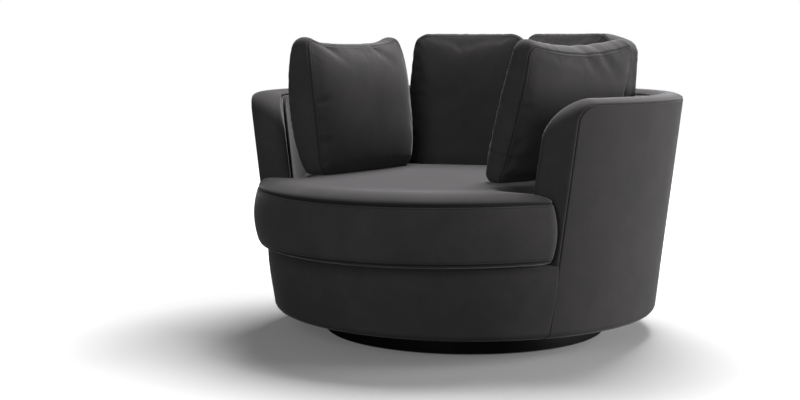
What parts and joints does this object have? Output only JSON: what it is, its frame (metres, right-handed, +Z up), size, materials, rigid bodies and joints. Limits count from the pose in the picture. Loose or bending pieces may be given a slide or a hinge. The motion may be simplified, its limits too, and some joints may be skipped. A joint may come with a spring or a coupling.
{
  "type": "swivel cuddle chair",
  "caption": "Wide round tub chair that turns on a low plinth, with a deep loose seat cushion, boxed back cushions and scatter cushions in dark fabric.",
  "frame": {"origin": "on the floor, under the middle of the plinth, on the axis the chair turns about", "axes": "+Z up along the swivel axis, -Y towards the front of the seat, +X towards the arm on the right of someone facing the chair"},
  "size_m": [1.3002, 1.3541, 0.896],
  "materials": {
    "upholstery_fabric": "matte",
    "black_cloth": "matte",
    "black_lacquer": "satin",
    "plywood": "matte",
    "foam": "matte",
    "felt": "matte",
    "zinc_steel": "satin",
    "nylon": "satin",
    "zip_tape": "matte"
  },
  "bodies": {
    "base": {"glide_centre": "felt", "glide_ring": "felt", "plinth_bottom_board": "plywood", "plinth_top_board": "plywood", "plinth_skirt": "black_lacquer", "swivel_lower_plate": "zinc_steel", "bearing_ring": "nylon", "lower_screw_1": "zinc_steel", "lower_screw_2": "zinc_steel", "lower_screw_3": "zinc_steel"},
    "tub": {"deck_felt": "felt", "base_board": "plywood", "upright_1": "plywood", "upright_2": "plywood", "upright_3": "plywood", "upright_4": "plywood", "upright_5": "plywood", "arm_post_right": "plywood", "arm_post_left": "plywood", "top_rail": "plywood", "spring_rail_back": "plywood", "front_rail_board": "plywood", "swivel_upper_plate": "zinc_steel", "upper_screw_1": "zinc_steel", "upper_screw_2": "zinc_steel", "upper_screw_3": "zinc_steel", "pivot_bolt": "zinc_steel", "pivot_nut": "zinc_steel", "spring_1": "zinc_steel", "spring_2": "zinc_steel", "spring_3": "zinc_steel", "spring_4": "zinc_steel", "spring_strip_front": "zinc_steel", "spring_strip_back": "zinc_steel", "deck_cloth": "black_cloth", "dust_cover": "black_cloth", "outer_wadding": "foam", "inner_foam": "foam", "front_rail_foam": "foam", "border_foam": "foam", "outer_cover": "upholstery_fabric", "front_rail_cover": "upholstery_fabric", "lining_pad": "upholstery_fabric", "border_cover": "upholstery_fabric"},
    "seat_cushion": {"seat_cover": "upholstery_fabric", "seat_core": "foam", "seat_zip": "zip_tape"},
    "back_left_cushion": {"back_left_cover": "upholstery_fabric", "back_left_core": "foam", "back_left_zip": "zip_tape"},
    "back_right_cushion": {"back_right_cover": "upholstery_fabric", "back_right_core": "foam", "back_right_zip": "zip_tape"},
    "scatter_left_cushion": {"scatter_left_cover": "upholstery_fabric", "scatter_left_core": "foam", "scatter_left_zip": "zip_tape"},
    "scatter_right_cushion": {"scatter_right_cover": "upholstery_fabric", "scatter_right_core": "foam", "scatter_right_zip": "zip_tape"}
  },
  "joints": [
    {"name": "swivel", "type": "hinge", "parent": "base", "child": "tub", "pos_m": [0, 0, 0.0695], "axis": [0, 0, 1], "continuous": true},
    {"name": "seat_lift", "type": "slide", "parent": "tub", "child": "seat_cushion", "axis": [0, 0, 1], "range_m": [0, 0.5]},
    {"name": "back_left_lift", "type": "slide", "parent": "seat_cushion", "child": "back_left_cushion", "axis": [0, 0, 1], "range_m": [0, 0.45]},
    {"name": "back_right_lift", "type": "slide", "parent": "seat_cushion", "child": "back_right_cushion", "axis": [0, 0, 1], "range_m": [0, 0.45]},
    {"name": "scatter_left_lift", "type": "slide", "parent": "seat_cushion", "child": "scatter_left_cushion", "axis": [0, 0, 1], "range_m": [0, 0.45]},
    {"name": "scatter_right_lift", "type": "slide", "parent": "seat_cushion", "child": "scatter_right_cushion", "axis": [0, 0, 1], "range_m": [0, 0.45]}
  ]
}
